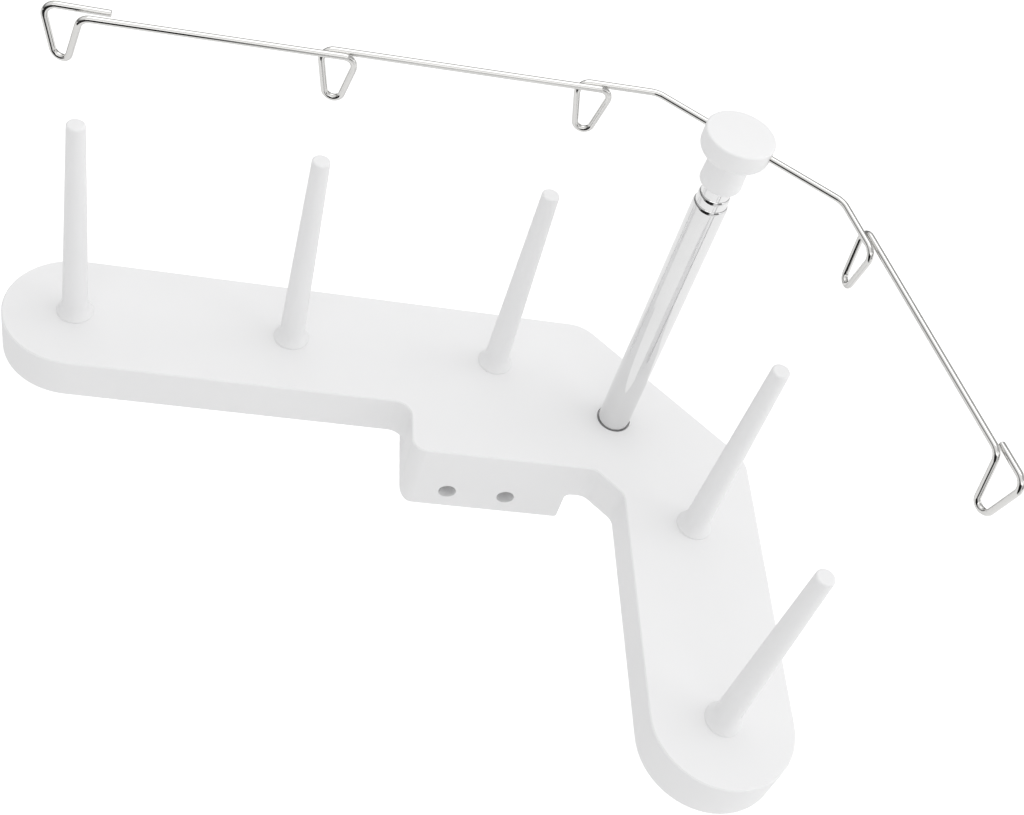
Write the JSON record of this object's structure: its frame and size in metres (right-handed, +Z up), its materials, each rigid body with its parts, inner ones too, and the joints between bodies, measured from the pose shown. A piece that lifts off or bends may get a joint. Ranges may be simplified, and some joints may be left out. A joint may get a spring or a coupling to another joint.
{
  "type": "thread rack",
  "caption": "White L-shaped thread rack with upright spool pins and a telescopic pole that carries a bent wire thread guide; it screws to the back of a sewing or embroidery machine.",
  "frame": {"origin": "on the mounting face, midway between the two screw holes", "axes": "+X along the long arm towards the corner, +Y away from the machine, +Z up along the spool pins"},
  "size_m": [0.2595, 0.1767, 0.155],
  "materials": {
    "white_plastic": "fine satin moulding",
    "pin_plastic": "smooth satin moulding",
    "head_plastic": "smooth satin moulding",
    "zinc_screw": "bright zinc plate",
    "satin_chrome": "satin chrome plate",
    "bright_chrome": "bright chrome plate",
    "steel_plug": "turned steel",
    "grey_nylon": "moulded nylon",
    "bronze_sleeve": "rolled bronze strip",
    "polished_wire": "polished steel wire"
  },
  "bodies": {
    "base": {"base": "white_plastic", "spool_pin_1": "pin_plastic", "spool_pin_2": "pin_plastic", "spool_pin_3": "pin_plastic", "spool_pin_4": "pin_plastic", "spool_pin_5": "pin_plastic", "pin_screws": "zinc_screw", "outer_tube": "satin_chrome", "foot_plug": "steel_plug", "foot_washer": "zinc_screw", "foot_screw": "zinc_screw"},
    "middle_stage": {"middle_tube": "bright_chrome", "middle_plug": "grey_nylon", "middle_sleeve": "bronze_sleeve"},
    "inner_stage": {"inner_tube": "bright_chrome", "inner_plug": "grey_nylon", "inner_sleeve": "bronze_sleeve", "head_stub": "steel_plug"},
    "guide": {"guide_head": "head_plastic", "guide_wire": "polished_wire"}
  },
  "joints": [
    {"name": "middle_slide", "type": "slide", "parent": "base", "child": "middle_stage", "axis": [0, 0, 1], "range_m": [0, 0.086]},
    {"name": "inner_slide", "type": "slide", "parent": "middle_stage", "child": "inner_stage", "axis": [0, 0, 1], "range_m": [0, 0.0699]},
    {"name": "guide_turn", "type": "hinge", "parent": "inner_stage", "child": "guide", "pos_m": [0.0443, 0.0229, 0.1447], "axis": [0, 0, 1], "continuous": true}
  ]
}
